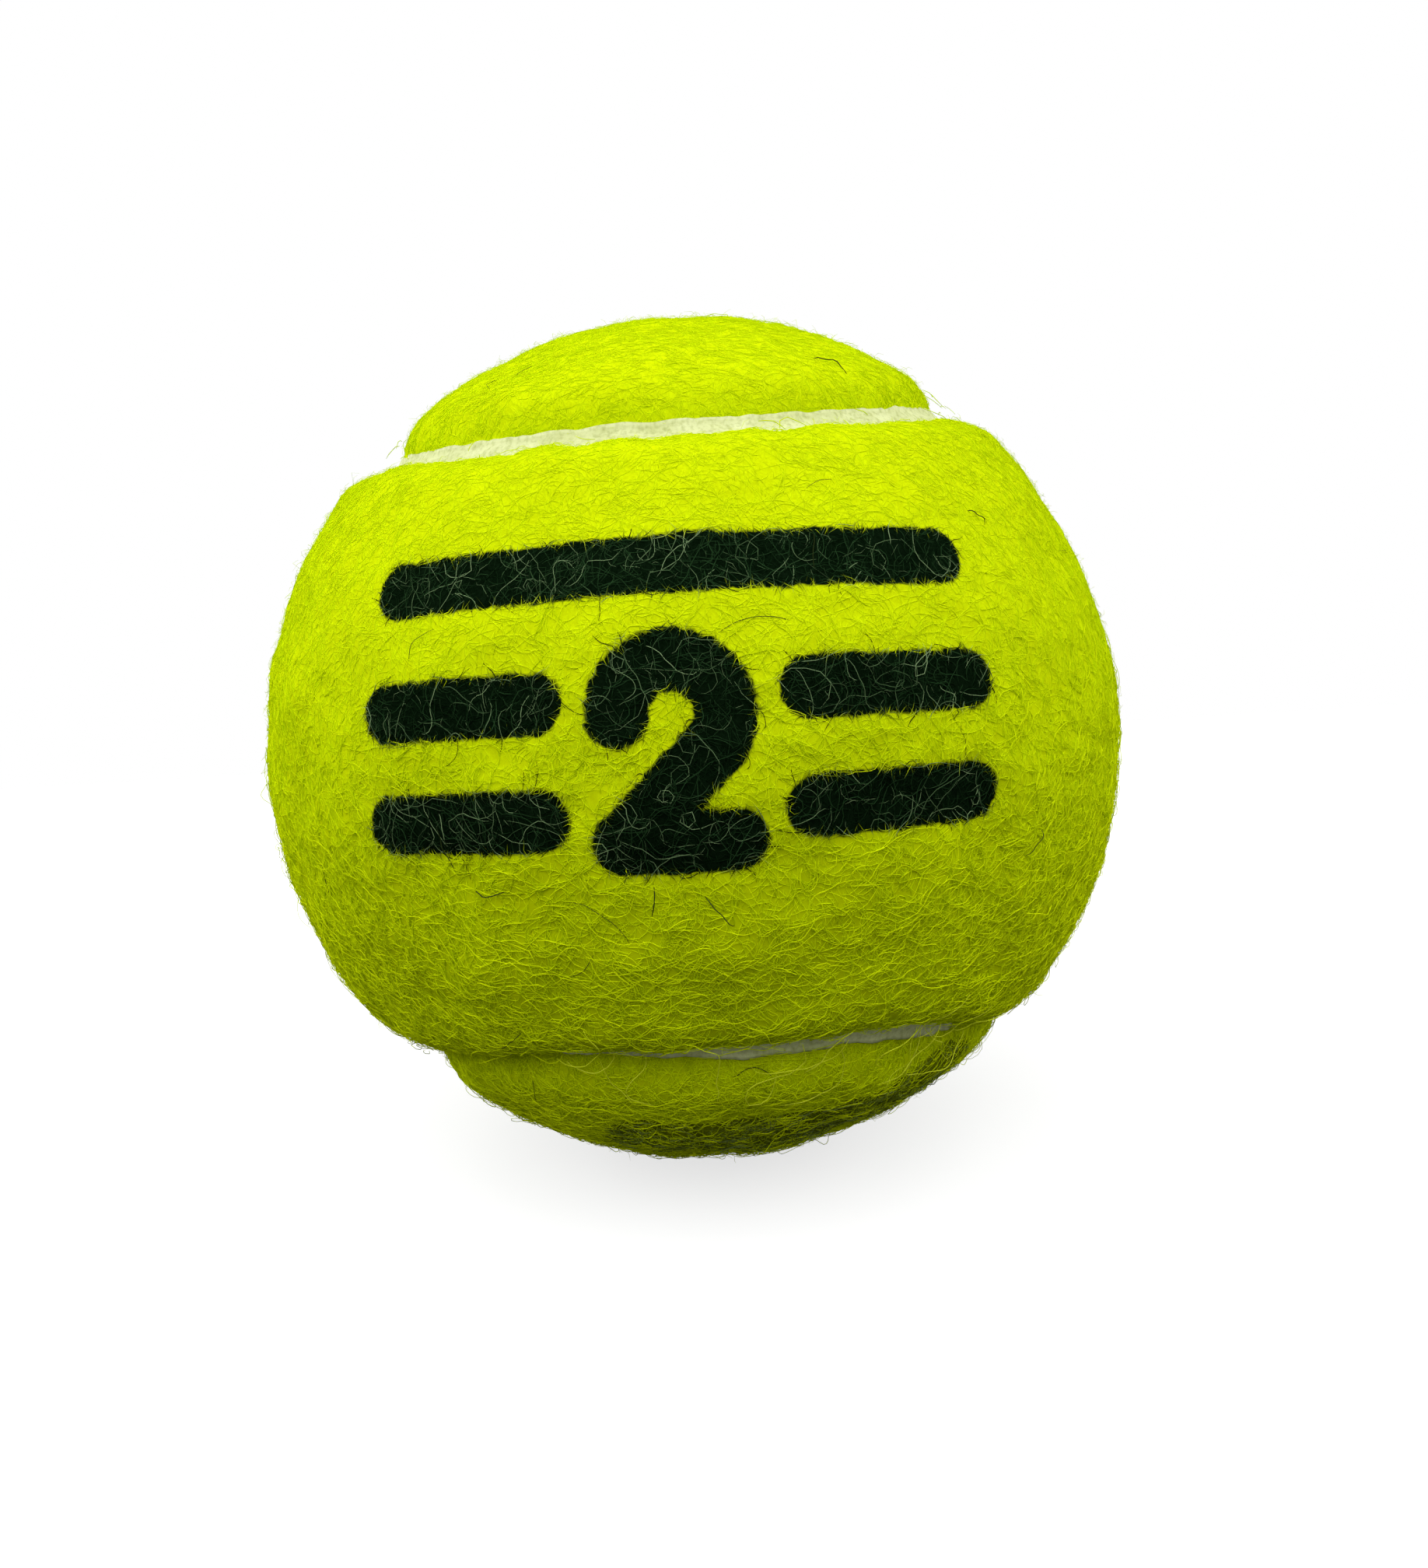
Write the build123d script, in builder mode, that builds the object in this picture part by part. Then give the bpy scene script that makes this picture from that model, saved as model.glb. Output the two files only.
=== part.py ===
"""A tennis ball: a hollow rubber core in two halves, two felt panels and the seam between them.

The origin is the centre of the ball. The waist of the front panel faces -Y and its lobes lie on
the +X and -X sides. The back panel is the same piece turned half round: its lobes are the top
and bottom caps, and its waist runs up the +Y side.
"""
import os
from math import asin, cos, pi, radians, sin, tan

from build123d import *

os.makedirs("parts", exist_ok=True)

# Driving dimensions in millimetres and degrees
ball_diameter = 67.0
felt_thickness = 3.2
backing_thickness = 0.3
core_wall = 3.4
core_joint_thickness = 0.2
seam_width = 2.4
seam_recess = 1.7
shoulder_radius = 1.4
waist_half_angle = 35.0
bond_clearance = 0.04
# Share of the seam's third wave: a larger one gives the panels a straighter waist and squarer lobes
waist_straightness = 0.346

# The seam is drawn as this many splines, each through this many steps of the formula
seam_spans = 16
points_per_span = 4
# How far the seam cutter reaches past the layers that it cuts
cutter_overlap = 2.0

# Radii of the layers, from the outside in
ball_radius = ball_diameter / 2
felt_back_radius = ball_radius - felt_thickness
core_radius = felt_back_radius - backing_thickness
cavity_radius = core_radius - core_wall
strip_radius = ball_radius - seam_recess

# The seam is drawn with three waves and laid on the sphere; this swing gives the waist its half angle
seam_swing = (1 - waist_straightness) / tan(radians(waist_half_angle))


def seam_direction(s):
    """Unit vector from the ball's centre to the middle of the seam, for s from 0 to 2 pi."""
    return Vector(
        sin(s) + waist_straightness * sin(3 * s),
        -seam_swing * cos(2 * s),
        cos(s) - waist_straightness * cos(3 * s),
    ).normalized()


def seam_tangent(s):
    """Unit vector along the seam."""
    slope = Vector(
        cos(s) + 3 * waist_straightness * cos(3 * s),
        2 * seam_swing * sin(2 * s),
        -sin(s) + 3 * waist_straightness * sin(3 * s),
    )
    outward = seam_direction(s)
    return (slope - outward * outward.dot(slope)).normalized()


def seam_loop(radius, side_angle):
    """Closed loop of splines on a sphere, beside the seam by an angle, positive towards the back panel."""
    spans = []
    for span in range(seam_spans):
        points = []
        tangents = []
        for i in range(points_per_span + 1):
            s = 2 * pi * (span + i / points_per_span) / seam_spans
            outward = seam_direction(s)
            sideways = outward.cross(seam_tangent(s))
            points.append((outward * cos(side_angle) + sideways * sin(side_angle)) * radius)
            tangents.append(seam_tangent(s))
        with BuildLine() as line:
            Spline(*points, tangents=[tangents[0], tangents[-1]])
        spans.append(line.edge())
    return spans


def seam_ring(inner_radius, outer_radius, half_angle):
    """Solid ring along the seam, with walls that point at the ball's centre."""
    loops = [
        seam_loop(inner_radius, -half_angle),
        seam_loop(outer_radius, -half_angle),
        seam_loop(outer_radius, half_angle),
        seam_loop(inner_radius, half_angle),
    ]
    walls = []
    for first, second in zip(loops, loops[1:] + loops[:1]):
        walls += [Face.make_surface_from_curves(a, b) for a, b in zip(first, second)]
    return Solid(Shell(walls))


# The gap between the panels, cut through every layer outside the core
gap_half_angle = asin(seam_width / 2 / strip_radius)
with BuildPart() as seam_gap:
    add(seam_ring(core_radius - cutter_overlap, ball_radius + cutter_overlap, gap_half_angle))

# Half a turn about this axis swaps the two panels
swap_axis = Axis((0, 0, 0), (1, 0, 1))


def spherical_layer(outer_radius, inner_radius):
    """Hollow ball whose poles and seam line all lie inside the back panel."""
    with BuildPart() as layer:
        Sphere(outer_radius, rotation=(0, 0, 90))
        Sphere(inner_radius, rotation=(0, 0, 90), mode=Mode.SUBTRACT)
    return layer.part


# Core halves and the cement between their rims
with BuildPart() as core_half_upper:
    with BuildSketch(Plane.XZ) as half_profile:
        Circle(core_radius)
        Circle(cavity_radius, mode=Mode.SUBTRACT)
        with Locations((0, core_joint_thickness / 2)):
            Rectangle(core_radius, core_radius, align=(Align.MIN, Align.MIN), mode=Mode.INTERSECT)
    revolve(axis=Axis.Z)
core_half_upper.part.label = "core_half_upper"

with BuildPart() as core_half_lower:
    mirror(core_half_upper.part, about=Plane.XY)
core_half_lower.part.label = "core_half_lower"

with BuildPart() as core_joint_cement:
    with BuildSketch(Plane.XZ) as ring_profile:
        Circle(core_radius)
        Circle(cavity_radius, mode=Mode.SUBTRACT)
        Rectangle(core_radius, core_joint_thickness, align=(Align.MIN, Align.CENTER), mode=Mode.INTERSECT)
    revolve(axis=Axis.Z)
core_joint_cement.part.label = "core_joint_cement"

# Rubber backings under the felt
with BuildPart() as panel_backing_front:
    add(spherical_layer(felt_back_radius, core_radius))
    add(seam_gap.part, mode=Mode.SUBTRACT)
    add(panel_backing_front.solids().sort_by(Axis.Y)[0], mode=Mode.REPLACE)
panel_backing_front.part.label = "panel_backing_front"

with BuildPart() as panel_backing_back:
    add(panel_backing_front.part.rotate(swap_axis, 180))
panel_backing_back.part.label = "panel_backing_back"

# Felt panels, with rounded shoulders along the seam
with BuildPart() as felt_panel_front:
    add(spherical_layer(ball_radius, felt_back_radius))
    add(seam_gap.part, mode=Mode.SUBTRACT)
    add(felt_panel_front.solids().sort_by(Axis.Y)[0], mode=Mode.REPLACE)
    outer_face = felt_panel_front.faces().sort_by(SortBy.AREA)[-1]
    fillet(outer_face.edges(), shoulder_radius)
felt_panel_front.part.label = "felt_panel_front"

with BuildPart() as felt_panel_back:
    add(felt_panel_front.part.rotate(swap_axis, 180))
felt_panel_back.part.label = "felt_panel_back"

# White seam compound, bonded to the panel edges beside it and to the core under its middle
strip_half_angle = asin((seam_width / 2 - bond_clearance) / strip_radius)
strip_foot_radius = (core_radius + bond_clearance) / cos(strip_half_angle)
with BuildPart() as seam_strip:
    add(seam_ring(strip_foot_radius, strip_radius, strip_half_angle))
seam_strip.part.label = "seam_strip"

for piece in (
    core_half_upper,
    core_half_lower,
    core_joint_cement,
    panel_backing_front,
    panel_backing_back,
    felt_panel_front,
    felt_panel_back,
    seam_strip,
):
    export_step(piece.part, f"parts/{piece.part.label}.step")
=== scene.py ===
"""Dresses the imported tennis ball: felt with its nap, print, seam compound, studio and camera."""
import math

import bpy
import numpy as np
from mathutils import Matrix, Vector
from mathutils.geometry import delaunay_2d_cdt


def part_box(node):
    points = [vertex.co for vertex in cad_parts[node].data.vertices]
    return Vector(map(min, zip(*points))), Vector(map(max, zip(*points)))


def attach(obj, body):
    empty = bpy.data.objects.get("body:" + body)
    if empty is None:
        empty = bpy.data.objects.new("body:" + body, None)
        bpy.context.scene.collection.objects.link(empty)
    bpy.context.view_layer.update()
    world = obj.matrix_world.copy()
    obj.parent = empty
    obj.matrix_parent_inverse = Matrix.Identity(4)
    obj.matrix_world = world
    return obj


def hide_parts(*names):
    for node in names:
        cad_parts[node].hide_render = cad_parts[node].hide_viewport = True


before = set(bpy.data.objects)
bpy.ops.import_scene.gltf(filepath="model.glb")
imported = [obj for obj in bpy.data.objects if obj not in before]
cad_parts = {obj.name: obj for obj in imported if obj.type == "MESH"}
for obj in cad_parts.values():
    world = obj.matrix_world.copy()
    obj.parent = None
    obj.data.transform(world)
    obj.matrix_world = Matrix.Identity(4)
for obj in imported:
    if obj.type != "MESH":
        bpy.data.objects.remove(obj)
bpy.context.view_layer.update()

# Lengths below are millimetres until a mesh is made
MM = 0.001

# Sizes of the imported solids
panel_low, panel_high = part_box("felt_panel_back")
BALL_RADIUS = (panel_high.z - panel_low.z) / 2 / MM
FELT_THICKNESS = 3.2
BACKING_THICKNESS = 0.3
SEAM_WIDTH = 2.4
SEAM_RECESS = 1.7
WAIST_HALF_ANGLE = math.radians(35.0)
WAIST_STRAIGHTNESS = 0.346
FELT_BACK_RADIUS = BALL_RADIUS - FELT_THICKNESS
CORE_RADIUS = FELT_BACK_RADIUS - BACKING_THICKNESS
STRIP_RADIUS = BALL_RADIUS - SEAM_RECESS

# The photograph's frame in pixels, and the ball's outline in it
PHOTO_WIDTH = 1836
PHOTO_HEIGHT = 2016
BALL_CENTRE_X = 891.6
BALL_CENTRE_Y = 945.2
BALL_OUTLINE = 544.5
# Camera distance in ball radii, and how the ball is turned in the picture
CAMERA_DISTANCE = 2.6
BALL_YAW = math.radians(-6.4)
BALL_PITCH = math.radians(0.5)
BALL_ROLL = math.radians(3.6)


def unit(vectors):
    return vectors / np.linalg.norm(vectors, axis=-1, keepdims=True)


def dot(first, second):
    return np.einsum("...i,...i->...", first, second)


# The seam line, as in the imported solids
SEAM_SWING = (1 - WAIST_STRAIGHTNESS) / math.tan(WAIST_HALF_ANGLE)
SEAM_SAMPLES = 1440


def seam_direction(s):
    """Unit vectors from the ball's centre to the middle of the seam, for s from 0 to 2 pi."""
    return unit(np.stack((
        np.sin(s) + WAIST_STRAIGHTNESS * np.sin(3 * s),
        -SEAM_SWING * np.cos(2 * s),
        np.cos(s) - WAIST_STRAIGHTNESS * np.cos(3 * s),
    ), axis=-1))


def seam_sideways(s):
    """Unit vectors across the seam, towards the back panel."""
    slope = np.stack((
        np.cos(s) + 3 * WAIST_STRAIGHTNESS * np.cos(3 * s),
        2 * SEAM_SWING * np.sin(2 * s),
        -np.sin(s) + 3 * WAIST_STRAIGHTNESS * np.sin(3 * s),
    ), axis=-1)
    return unit(np.cross(seam_direction(s), slope))


def beside_seam(s, distance):
    """Unit vectors at a distance from the seam along the ball, positive towards the back panel."""
    angle = (distance / BALL_RADIUS)[:, None]
    return seam_direction(s) * np.cos(angle) + seam_sideways(s) * np.sin(angle)


def seam_steps():
    """Seam parameters all round, and the length in millimetres travelled to each."""
    s = np.linspace(0, 2 * math.pi, SEAM_SAMPLES + 1)
    steps = np.linalg.norm(np.diff(seam_direction(s), axis=0), axis=1)
    return s, np.concatenate(([0], np.cumsum(steps))) * BALL_RADIUS


def even_seam(spacing):
    """Seam parameters at even steps along its length."""
    s, travelled = seam_steps()
    count = round(travelled[-1] / spacing)
    return np.interp(np.arange(count) / count * travelled[-1], travelled, s)


SEAM_S = seam_steps()[0][:-1]
SEAM_POINTS = seam_direction(SEAM_S)
SEAM_SIDES = seam_sideways(SEAM_S)


def nearest_seam(directions, chunk=8192):
    """Seam parameter of the nearest seam point, and the signed distance to it in millimetres."""
    nearest = np.empty(len(directions), dtype=int)
    columns = SEAM_POINTS.T.astype(np.float32)
    for start in range(0, len(directions), chunk):
        block = directions[start:start + chunk].astype(np.float32)
        nearest[start:start + chunk] = np.argmax(block @ columns, axis=1)
    sine = dot(directions, SEAM_SIDES[nearest])
    cosine = dot(directions, SEAM_POINTS[nearest])
    return SEAM_S[nearest], np.arctan2(sine, cosine) * BALL_RADIUS


# The groove between the panels, cut and glued by hand and so a little uneven
GROOVE_WOBBLE = 0.07
GROOVE_WAVES = 16
GROOVE_WAVE_COUNTS = (12, 110)
GROOVE_SEED = 70
LOWER_SAG = 0.5
LOWER_SAG_WAVES = 16
LOWER_SAG_REACH = 0.25
LOWER_SAG_MIDDLE = math.pi - 0.075
# Where the groove strays at the picture's sides: middle, reach, and shift towards the back panel
SEAM_SHIFTS = [
    (0.68, 0.25, 1.0),
    (2 * math.pi - 0.68, 0.25, 0.5),
    (math.pi - 0.66, 0.20, -2.0),
]
# The front panel's nap leans over the groove by this much
FRONT_COVER = 0.6
# Stretches of the lower seam where the felt swells over the groove: middle, reach
SWELLS = [(math.pi + 0.33, 0.35), (math.pi - 0.58, 0.20)]
# How far a swell shifts the groove, and the shares by which it closes the groove's two halves
SWELL_SHIFT = 0.75
SWELL_FRONT = 0.9
SWELL_BACK = 0.9


def groove_swell(s):
    """1 where the felt swells over the groove, else 0."""
    return sum(np.exp(-((s - middle) / reach) ** 4) for middle, reach in SWELLS)


def groove_drift(s):
    """How far the groove strays from the seam line, at the sides and in its sagging lower front."""
    shift = sum(size * np.exp(-((s - middle) / reach) ** 2) for middle, reach, size in SEAM_SHIFTS)
    around = s - LOWER_SAG_MIDDLE
    sag = LOWER_SAG * np.cos(LOWER_SAG_WAVES * around) * np.exp(-(around / LOWER_SAG_REACH) ** 2)
    return shift + sag + SWELL_SHIFT * groove_swell(s)


def groove_half(s, side):
    """Half width of the groove on one side, -1 front or 1 back."""
    rng = np.random.default_rng(GROOVE_SEED + side)
    counts = rng.integers(*GROOVE_WAVE_COUNTS, GROOVE_WAVES)
    phases = rng.uniform(0, 2 * math.pi, GROOVE_WAVES)
    waves = sum(np.sin(count * s + phase) for count, phase in zip(counts, phases))
    wobble = GROOVE_WOBBLE * math.sqrt(2 / GROOVE_WAVES) * waves
    if side > 0:
        return SEAM_WIDTH / 2 * (1 - SWELL_BACK * groove_swell(s)) + wobble
    return (SEAM_WIDTH / 2 - FRONT_COVER) * (1 - SWELL_FRONT * groove_swell(s)) + wobble


def groove(directions):
    """Seam parameter, signed distance from the groove's middle, and its half width there."""
    s, distance = nearest_seam(directions)
    across = distance - groove_drift(s)
    return s, across, np.where(across < 0, groove_half(s, -1), groove_half(s, 1))


# The felt's surface
SHOULDER_REACH = 3.4
SHOULDER_DROP = 1.45
FRONT_LOFT = 0.05
BACK_LOFT = -0.4
# Wavelength, height and seed of the felt's lumps
FELT_LUMPS = [(8.0, 0.09, 1), (3.0, 0.028, 2), (1.3, 0.008, 3)]
# Flattened places: direction, depth and reach
FELT_FLATS = [((0.85, -0.39, 0.35), 0.45, 9.0), ((-0.58, -0.39, -0.71), 0.6, 7.0)]
# Waves in a random field, and the range of their lengths in shares of the middle one
NOISE_WAVES = 28
NOISE_LENGTHS = (0.7, 1.5)


def wave_noise(points, wavelength, seed):
    """Smooth random field of about unit size, made of waves in random directions."""
    rng = np.random.default_rng(seed)
    directions = unit(rng.normal(size=(NOISE_WAVES, 3)))
    lengths = wavelength * rng.uniform(*NOISE_LENGTHS, NOISE_WAVES)
    phases = rng.uniform(0, 2 * math.pi, NOISE_WAVES)
    total = np.zeros(len(points))
    for direction, length, phase in zip(directions, lengths, phases):
        total += np.sin(points @ (direction * 2 * math.pi / length) + phase)
    return total * math.sqrt(2 / NOISE_WAVES)


def lump_heights(directions, lumps):
    """Heights of random lumps, each given by wavelength, height and seed."""
    points = directions * BALL_RADIUS
    return sum(height * wave_noise(points, length, seed) for length, height, seed in lumps)


def felt_radius(directions, across, half):
    """Radius of the felt, lumpy all over and rounded down towards the groove."""
    past = np.abs(across) - half
    inward = np.clip(1 - past / SHOULDER_REACH, 0, 1)
    drop = SHOULDER_DROP * inward ** 2
    loft = np.where(across < 0, FRONT_LOFT, BACK_LOFT)
    lumps = lump_heights(directions, FELT_LUMPS)
    for middle, depth, reach in FELT_FLATS:
        away = np.linalg.norm(directions - unit(np.array(middle)), axis=1) * BALL_RADIUS
        lumps = lumps - depth * np.exp(-(away / reach) ** 2)
    return BALL_RADIUS + loft - drop + lumps


def shoulder_tilt(across, half):
    """Angle by which the felt's surface leans into the groove."""
    inward = np.clip(1 - (np.abs(across) - half) / SHOULDER_REACH, 0, 1)
    return np.arctan(2 * SHOULDER_DROP / SHOULDER_REACH * inward)


# Print on the front panel, drawn as round-ended strokes in millimetres along the surface
PRINT_CENTRE = (2.6, 0.0)
BAR_STROKE = 1.75
NUMERAL_STROKE = 1.75
PRINT_BARS = [
    ((-17.0, 9.8), (17.0, 9.8)),
    ((-17.6, 2.5), (-7.6, 2.5)),
    ((-17.6, -3.9), (-7.6, -3.9)),
    ((7.6, 2.5), (17.6, 2.5)),
    ((7.6, -3.9), (17.6, -3.9)),
]
NUMERAL_TOP = (0.0, 1.5)
NUMERAL_RADIUS = 2.9
NUMERAL_TURN = math.radians(-35)
NUMERAL_FOOT_LEFT = (-3.0, -5.4)
NUMERAL_FOOT_RIGHT = (3.2, -5.4)
# Worn bar on the lower cap: directions of its ends, half its width, and the share of ink left
CAP_BAR_START = (-0.05, -0.585, -0.81)
CAP_BAR_END = (0.50, -0.43, -0.755)
CAP_BAR_STROKE = 3.9
CAP_BAR_INK = 0.60
# Angles this far before an arc's start count as past its end
ARC_SLACK = 0.5


def stroke_distance(points, start, end):
    """Distance from points to a straight stroke's middle line."""
    run = np.subtract(end, start)
    share = np.clip((points - start) @ run / (run @ run), 0, 1)
    return np.linalg.norm(points - start - share[:, None] * run, axis=1)


def arc_distance(points, centre, radius, first, last):
    """Distance from points to an arc's middle line, between two angles."""
    offset = points - centre
    angle = np.arctan2(offset[:, 1], offset[:, 0])
    angle = np.where(angle < first - ARC_SLACK, angle + 2 * math.pi, angle)
    angle = np.clip(angle, first, last)
    return np.linalg.norm(offset - radius * np.column_stack((np.cos(angle), np.sin(angle))), axis=1)


def chord_distance(directions, start, end):
    """Distance along the ball to the line between two directions, in millimetres."""
    start, end = unit(np.array(start)), unit(np.array(end))
    run = end - start
    share = np.clip((directions - start) @ run / np.sum(run ** 2), 0, 1)[:, None]
    return np.linalg.norm(directions - unit(start + share * run), axis=1) * BALL_RADIUS


def ink_distance(directions):
    """Distance outside the print in millimetres, negative inside it."""
    longitude = np.arctan2(directions[:, 0], -directions[:, 1])
    latitude = np.arcsin(np.clip(directions[:, 2], -1, 1))
    points = np.column_stack((longitude, latitude)) * BALL_RADIUS - PRINT_CENTRE
    turn = np.array((math.cos(NUMERAL_TURN), math.sin(NUMERAL_TURN)))
    turn_end = np.add(NUMERAL_TOP, NUMERAL_RADIUS * turn)
    bars = np.min([stroke_distance(points, *bar) for bar in PRINT_BARS], axis=0) - BAR_STROKE
    numeral = np.min([
        arc_distance(points, NUMERAL_TOP, NUMERAL_RADIUS, NUMERAL_TURN, math.pi),
        stroke_distance(points, turn_end, NUMERAL_FOOT_LEFT),
        stroke_distance(points, NUMERAL_FOOT_LEFT, NUMERAL_FOOT_RIGHT),
    ], axis=0) - NUMERAL_STROKE
    cap_bar = chord_distance(directions, CAP_BAR_START, CAP_BAR_END) - CAP_BAR_STROKE
    return np.minimum(np.minimum(bars, numeral), cap_bar)


def ink_strength(directions):
    """Share of the ink that is left: all of it in front, less on the lower cap."""
    return np.where(directions[:, 2] < CAP_BAR_END[2] / 2, CAP_BAR_INK, 1.0)


# Materials
class Nodes:
    """A material's nodes, made and linked one by one."""

    def __init__(self, name):
        self.material = bpy.data.materials.new(name)
        self.material.use_nodes = True
        self.tree = self.material.node_tree
        self.shader = self.tree.nodes["Principled BSDF"]

    def add(self, kind, **settings):
        node = self.tree.nodes.new(kind)
        for key, value in settings.items():
            setattr(node, key, value)
        return node

    def feed(self, socket, value):
        """Links a socket to another, or sets it to a number or a colour."""
        if isinstance(value, bpy.types.NodeSocket):
            self.tree.links.new(value, socket)
        elif isinstance(value, tuple):
            socket.default_value = (*value, 1)
        else:
            socket.default_value = value

    def set(self, node, **values):
        """Feeds a node's inputs by name, with spaces written as underscores."""
        for name, value in values.items():
            self.feed(node.inputs[name.replace("_", " ")], value)

    def math(self, operation, *values):
        node = self.add("ShaderNodeMath", operation=operation)
        for socket, value in zip(node.inputs, values):
            self.feed(socket, value)
        return node.outputs[0]

    def position(self):
        return self.add("ShaderNodeTexCoord").outputs["Object"]

    def noise(self, vector, per_mm, detail=2.0, distortion=0.0):
        """Noise with a number of features to the millimetre."""
        node = self.add("ShaderNodeTexNoise")
        self.set(node, Vector=vector, Scale=per_mm / MM, Detail=detail, Distortion=distortion)
        return node.outputs["Fac"]

    def ramp(self, fac, *stops):
        node = self.add("ShaderNodeValToRGB")
        while len(node.color_ramp.elements) < len(stops):
            node.color_ramp.elements.new(0.5)
        for element, (place, colour) in zip(node.color_ramp.elements, stops):
            element.position = place
            element.color = (*colour, 1)
        self.feed(node.inputs["Fac"], fac)
        return node.outputs["Color"]

    def mix(self, fac, first, second, blend="MIX"):
        node = self.add("ShaderNodeMix", data_type="RGBA", blend_type=blend)
        # Inputs 6 and 7 and output 2 are the node's colour sockets
        for index, value in ((0, fac), (6, first), (7, second)):
            self.feed(node.inputs[index], value)
        return node.outputs[2]

    def bump(self, height, distance, strength=1.0):
        node = self.add("ShaderNodeBump")
        self.set(node, Height=height, Distance=distance * MM, Strength=strength)
        self.set(self.shader, Normal=node.outputs["Normal"])

    def attribute(self, name):
        return self.add("ShaderNodeAttribute", attribute_name=name).outputs["Fac"]


# Colours, linear
# Painted shade of the felt's body on the lower half, where the nap stands up
FELT_PAINTED_SHADE = (0.53, 0.64, 0.001)
FELT_DEEP = (0.58, 0.71, 0.001)
FELT_MIDDLE = (0.70, 0.86, 0.002)
FELT_BRIGHT = (0.80, 0.955, 0.004)
FELT_PALE = (0.86, 0.95, 0.06)
INK_DEEP = (0.001, 0.004, 0.001)
INK_RAISED = (0.006, 0.016, 0.006)
INK_FIBRE = (0.005, 0.016, 0.005)
INK_FIBRE_GREEN = (0.022, 0.060, 0.020)
INK_FIBRE_PALE = (0.26, 0.38, 0.18)
STRAY_DARK = (0.03, 0.045, 0.012)
GRAIN_SHADE = (0.9, 0.9, 0.9)
PLAIN = (1.0, 1.0, 1.0)
# Seam compound: its yellow tint is partly its own colour and partly painted bounce light from the felt
SEAM_DARK = (0.62, 0.66, 0.30)
SEAM_LIGHT = (0.73, 0.77, 0.41)
SEAM_DUST = (0.70, 0.72, 0.56)
# Hidden layers: darker and lighter colour
CORE_COLOURS = ((0.035, 0.034, 0.032), (0.075, 0.072, 0.068))
CEMENT_COLOURS = ((0.10, 0.07, 0.035), (0.19, 0.14, 0.08))
BACKING_COLOURS = ((0.40, 0.36, 0.24), (0.60, 0.55, 0.40))

# Share of the felt's tone that its fine pattern makes
FINE_SHARE = 0.7
# How ragged the print's edge is in millimetres, and how sharp
INK_RAGGED = 0.6
INK_SHARPNESS = 6.0


def felt_material():
    """The felt's body under the nap: blurred fibres, painted shade that darkens it on the lower half
    where the nap stands up, and the print soaked in.
    """
    n = Nodes("felt")
    place = n.position()
    fine = n.noise(place, per_mm=5.0, distortion=0.8)
    cloud = n.noise(place, per_mm=0.8, distortion=0.3)
    tone = n.math("MULTIPLY_ADD", fine, FINE_SHARE, n.math("MULTIPLY", cloud, 1 - FINE_SHARE))
    felt = n.ramp(tone, (0.35, FELT_DEEP), (0.65, FELT_MIDDLE))
    # Painted shade: the felt's body goes darker on the lower half, where the nap stands up
    felt = n.mix(n.attribute("rise"), felt, FELT_PAINTED_SHADE)
    ink = n.ramp(tone, (0.3, INK_DEEP), (0.9, INK_RAISED))
    ragged = n.noise(place, per_mm=1.4, detail=3.0)
    ragged = n.math("MULTIPLY_ADD", ragged, INK_RAGGED, -INK_RAGGED / 2)
    outside = n.math("ADD", n.attribute("ink"), ragged)
    soaked = n.math("MULTIPLY_ADD", outside, -INK_SHARPNESS, 0.5)
    soaked = n.math("MINIMUM", n.math("MAXIMUM", soaked, 0.0), 1.0)
    soaked = n.math("MULTIPLY", soaked, n.attribute("strength"))
    n.set(n.shader, Base_Color=n.mix(soaked, felt, ink), Roughness=0.95, Specular_IOR_Level=0.0)
    n.bump(tone, distance=0.03, strength=0.6)
    return n.material


def fibre_material(name, deep, middle, bright):
    """Single fibres: each has its own tone, and is dark where it is inked."""
    n = Nodes(name)
    tone = n.attribute("tone")
    felt = n.ramp(tone, (0.0, deep), (0.4, middle), (1.0, bright))
    inked = n.ramp(tone, (0.0, INK_DEEP), (0.55, INK_FIBRE), (0.8, INK_FIBRE_GREEN),
                   (0.97, INK_FIBRE_PALE))
    colour = n.mix(n.attribute("inked"), felt, inked)
    colour = n.mix(n.attribute("stray"), colour, STRAY_DARK)
    grain = n.ramp(n.noise(n.position(), per_mm=2.4), (0.25, GRAIN_SHADE), (0.75, PLAIN))
    colour = n.mix(1.0, colour, grain, "MULTIPLY")
    n.set(n.shader, Base_Color=colour, Roughness=0.8, Specular_IOR_Level=0.0)
    return n.material


def seam_material():
    """Matt white rubber compound with dust and a little unevenness; its yellow tint is partly its own
    colour and partly painted bounce light from the felt.
    """
    n = Nodes("seam_compound")
    place = n.position()
    base = n.ramp(n.noise(place, per_mm=0.5, detail=4.0), (0.3, SEAM_DARK), (0.7, SEAM_LIGHT))
    dust = n.ramp(n.noise(place, per_mm=3.2, detail=3.0), (0.45, PLAIN), (0.75, SEAM_DUST))
    colour = n.mix(1.0, base, dust, "MULTIPLY")
    n.set(n.shader, Base_Color=colour, Roughness=0.8, Specular_IOR_Level=0.25)
    n.bump(n.noise(place, per_mm=2.0, detail=4.0), distance=0.10, strength=0.7)
    return n.material


def rubber_material(name, dark, light, per_mm, roughness):
    """Moulded or brushed-on rubber of the hidden layers."""
    n = Nodes(name)
    grain = n.noise(n.position(), per_mm, detail=5.0)
    colour = n.ramp(grain, (0.3, dark), (0.7, light))
    n.set(n.shader, Base_Color=colour, Roughness=roughness, Specular_IOR_Level=0.35)
    n.bump(grain, distance=0.05, strength=0.6)
    return n.material


# Pieces
BAKE_MAP = "OFBake"


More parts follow.
